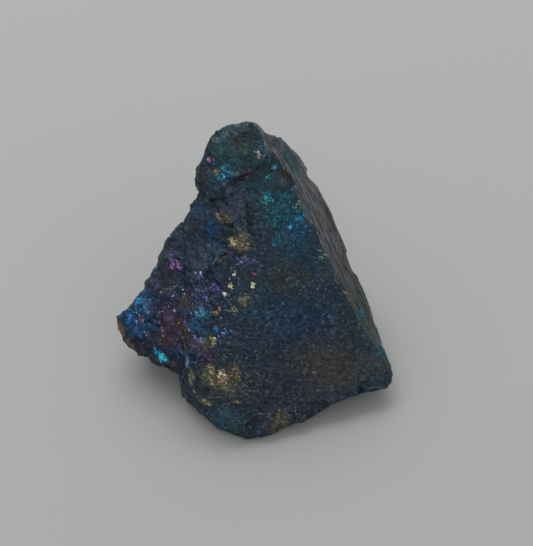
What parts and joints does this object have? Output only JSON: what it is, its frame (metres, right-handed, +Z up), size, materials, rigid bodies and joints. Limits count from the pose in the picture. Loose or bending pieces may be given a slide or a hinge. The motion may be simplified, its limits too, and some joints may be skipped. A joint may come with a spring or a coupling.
{
  "type": "mineral specimen",
  "caption": "Broken wedge of iridescent copper ore with a blunt crown, a broad fracture face, a striated side and a flat rest face.",
  "frame": {"origin": "centre of the stone's bounding box in plan, on the rest face", "axes": "+Z up from the rest face, +X towards the right end of the broad face, +Y away from the broad face"},
  "size_m": [0.0334, 0.0286, 0.0298],
  "materials": {
    "chalcopyrite": "broken, satin, iridescent tarnish"
  },
  "bodies": {
    "root": {"chalcopyrite_stone": "chalcopyrite"}
  },
  "joints": []
}
